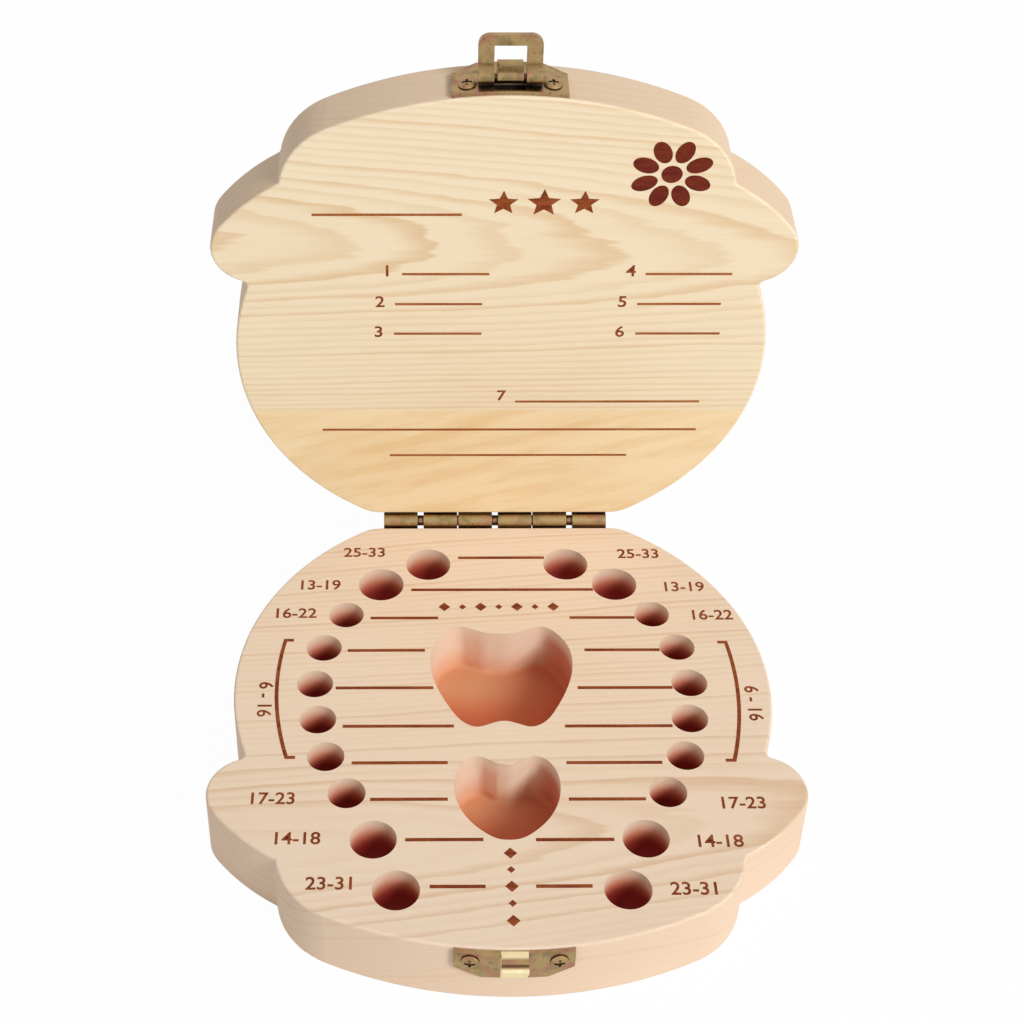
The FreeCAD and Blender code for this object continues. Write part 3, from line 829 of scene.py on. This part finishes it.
class TOOTHBOX_OT_stage(bpy.types.Operator):
    """Set the pale floor, the soft light and the camera"""
    bl_idname = "toothbox.stage"
    bl_label = "Stage"

    def execute(self, context):
        settings = context.scene.tooth_box_stage
        scene = context.scene
        scene.view_settings.view_transform = "Standard"
        self.add_floor(scene, settings)
        self.add_world(scene, settings)
        self.add_lamp(scene, settings)
        self.add_camera(scene, settings)
        return {"FINISHED"}

    def add_floor(self, scene, settings):
        material, shade = new_material("pale_floor")
        matte = shade.node("ShaderNodeBsdfDiffuse", None, {"Color": settings.floor})
        white = shade.node("ShaderNodeEmission", None, {"Color": (1, 1, 1), "Strength": 1.0})
        share = lit_white(shade, FLOOR_WHITE)
        shown = shade.node("ShaderNodeMixShader", None, {0: share, 1: matte, 2: white})
        shade.node("ShaderNodeOutputMaterial", None, {"Surface": shown})
        mesh = bpy.data.meshes.new("floor")
        far = FLOOR_REACH
        corners = [(-far, -far, 0), (far, -far, 0), (far, far, 0), (-far, far, 0)]
        mesh.from_pydata(corners, [], [(0, 1, 2, 3)])
        mesh.materials.append(material)
        floor = bpy.data.objects.new("floor", mesh)
        scene.collection.objects.link(floor)

    def add_world(self, scene, settings):
        world = bpy.data.worlds.new("studio")
        world.use_nodes = True
        world.node_tree.nodes.clear()
        shade = Shade(world.node_tree)
        strength = settings.fill + lit_white(shade, 1.0 - settings.fill)
        sky = shade.node("ShaderNodeBackground", None, {"Color": (1, 1, 1), "Strength": strength})
        shade.node("ShaderNodeOutputWorld", None, {"Surface": sky})
        scene.world = world

    def add_lamp(self, scene, settings):
        lamp = bpy.data.lights.new("key", "AREA")
        lamp.shape = "DISK"
        lamp.size = LAMP_SIZE
        lamp.energy = settings.key_power
        holder = bpy.data.objects.new("key", lamp)
        holder.location = LAMP_PLACE
        holder.rotation_euler = (LAMP_AIM - LAMP_PLACE).to_track_quat("-Z", "Y").to_euler()
        scene.collection.objects.link(holder)

    def add_camera(self, scene, settings):
        data = bpy.data.cameras.new("camera")
        data.sensor_width = SENSOR_WIDTH
        data.lens = settings.lens
        data.shift_x, data.shift_y = CAMERA_SHIFT
        camera = bpy.data.objects.new("camera", data)
        level = Vector((math.cos(CAMERA_YAW), math.sin(CAMERA_YAW), 0))
        forward = Vector((-math.sin(CAMERA_YAW), math.cos(CAMERA_YAW), 0))
        ahead = forward * math.cos(CAMERA_PITCH) + Vector((0, 0, math.sin(CAMERA_PITCH)))
        upright = level.cross(ahead)
        right = level * math.cos(CAMERA_ROLL) + upright * math.sin(CAMERA_ROLL)
        above = upright * math.cos(CAMERA_ROLL) - level * math.sin(CAMERA_ROLL)
        turn = Matrix((right, above, -ahead)).transposed().to_4x4()
        camera.matrix_world = Matrix.Translation(CAMERA_PLACE) @ turn
        scene.collection.objects.link(camera)
        scene.camera = camera


class TOOTHBOX_PT_panel(bpy.types.Panel):
    """Lists the steps that dress the tooth box"""
    bl_idname = "TOOTHBOX_PT_panel"
    bl_label = "Tooth Box"
    bl_space_type = "VIEW_3D"
    bl_region_type = "UI"
    bl_category = "Tooth Box"

    def draw(self, context):
        for group in SETTINGS:
            for key in group[1].__annotations__:
                self.layout.prop(getattr(context.scene, group[0]), key)
        for operator in OPERATORS:
            self.layout.operator(operator.bl_idname)


SETTINGS = (
    ("tooth_box_wood", ToothBoxWood),
    ("tooth_box_marks", ToothBoxMarks),
    ("tooth_box_hardware", ToothBoxHardware),
    ("tooth_box_stage", ToothBoxStage),
)
OPERATORS = (
    TOOTHBOX_OT_boards,
    TOOTHBOX_OT_hinge,
    TOOTHBOX_OT_latch,
    TOOTHBOX_OT_screws,
    TOOTHBOX_OT_base_lines,
    TOOTHBOX_OT_base_figures,
    TOOTHBOX_OT_lid_lines,
    TOOTHBOX_OT_lid_figures,
    TOOTHBOX_OT_lid_flower,
    TOOTHBOX_OT_stage,
)


def register():
    for name, group in SETTINGS:
        bpy.utils.register_class(group)
        setattr(bpy.types.Scene, name, PointerProperty(type=group))
    for operator in OPERATORS:
        bpy.utils.register_class(operator)
    bpy.utils.register_class(TOOTHBOX_PT_panel)


def unregister():
    bpy.utils.unregister_class(TOOTHBOX_PT_panel)
    for operator in reversed(OPERATORS):
        bpy.utils.unregister_class(operator)
    for name, group in reversed(SETTINGS):
        delattr(bpy.types.Scene, name)
        bpy.utils.unregister_class(group)


def main():
    register()
    for operator in OPERATORS:
        family, action = operator.bl_idname.split(".")
        getattr(getattr(bpy.ops, family), action)()


if __name__ == "__main__":
    main()
